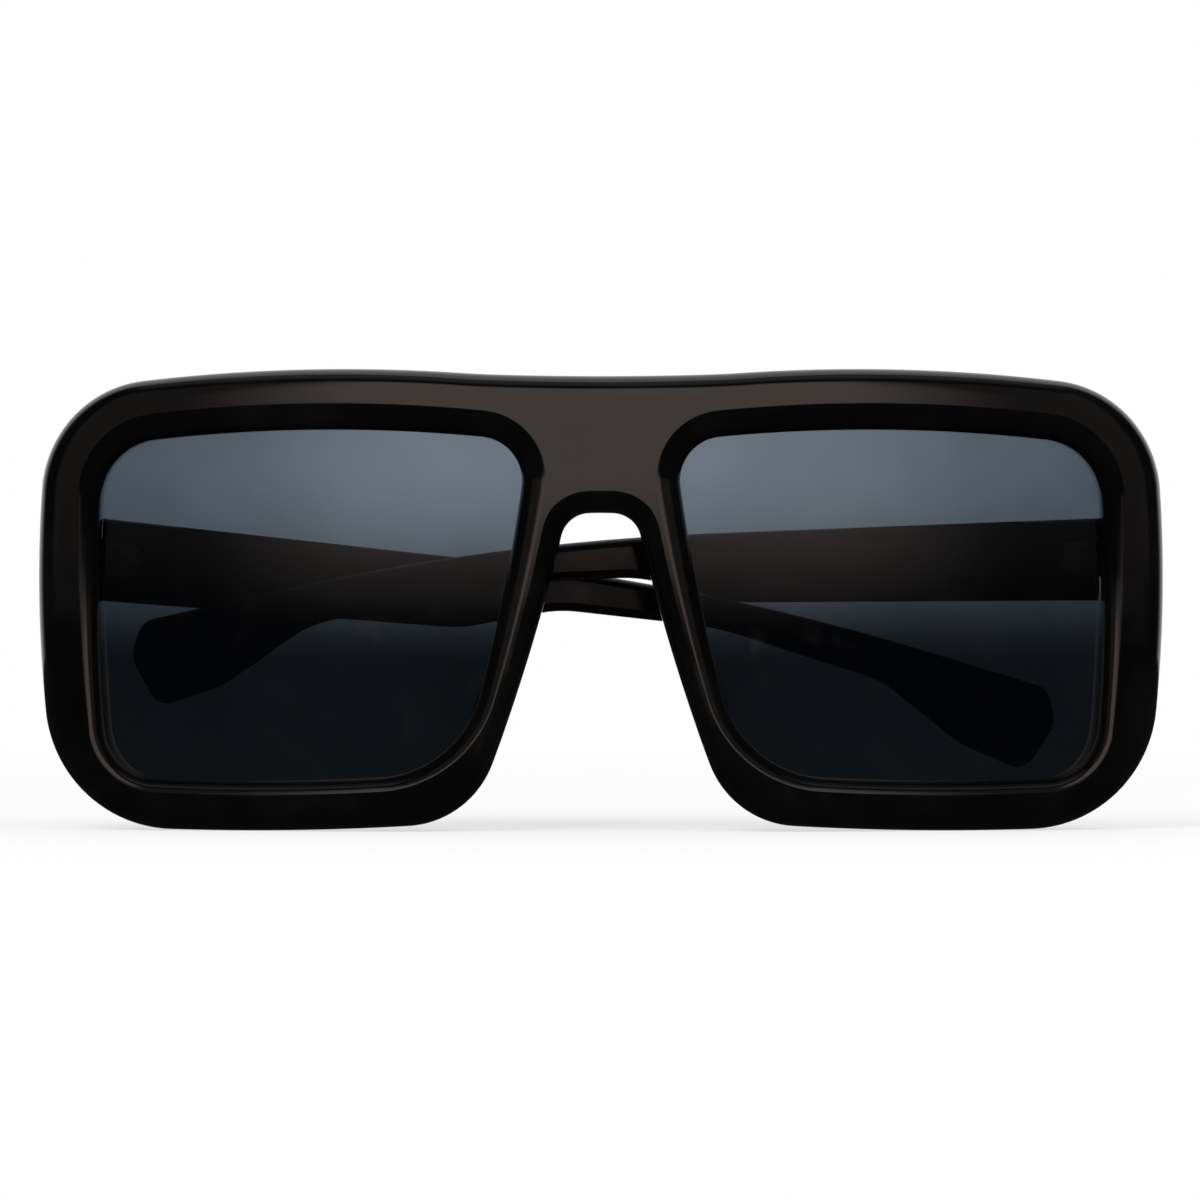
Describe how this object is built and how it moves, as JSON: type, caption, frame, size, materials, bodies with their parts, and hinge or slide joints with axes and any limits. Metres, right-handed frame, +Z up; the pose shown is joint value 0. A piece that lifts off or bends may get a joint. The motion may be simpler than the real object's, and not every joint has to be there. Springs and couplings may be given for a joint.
{
  "type": "sunglasses",
  "caption": "Oversized flat-top sunglasses: thick glossy front, smoked lenses and two folding temples on pin hinges.",
  "frame": {"origin": "under the middle of the folded sunglasses, on the level of the rims' lowest points", "axes": "+X to the right as seen from the front, +Y from the front towards the wearer, +Z up"},
  "size_m": [0.155, 0.034, 0.063],
  "materials": {
    "frame_plastic": "polished black",
    "temple_plastic": "polished black",
    "lens": "smoked, polished",
    "hinge_metal": "satin",
    "screw_metal": "satin"
  },
  "bodies": {
    "front": {"front_frame": "frame_plastic", "left_lens": "lens", "right_lens": "lens", "left_front_leaf": "hinge_metal", "right_front_leaf": "hinge_metal", "left_hinge_screw": "screw_metal", "right_hinge_screw": "screw_metal"},
    "left_arm": {"left_temple": "temple_plastic", "left_temple_leaf": "hinge_metal"},
    "right_arm": {"right_temple": "temple_plastic", "right_temple_leaf": "hinge_metal"}
  },
  "joints": [
    {"name": "left_hinge", "type": "hinge", "parent": "front", "child": "left_arm", "pos_m": [-0.0702, 0.00595, 0.0372], "axis": [0.0349, 0, 0.9994], "range_deg": [0, 85.8]},
    {"name": "right_hinge", "type": "hinge", "parent": "front", "child": "right_arm", "pos_m": [0.0702, 0.00595, 0.0372], "axis": [-0.0349, 0, -0.9994], "range_deg": [0, 91]}
  ]
}
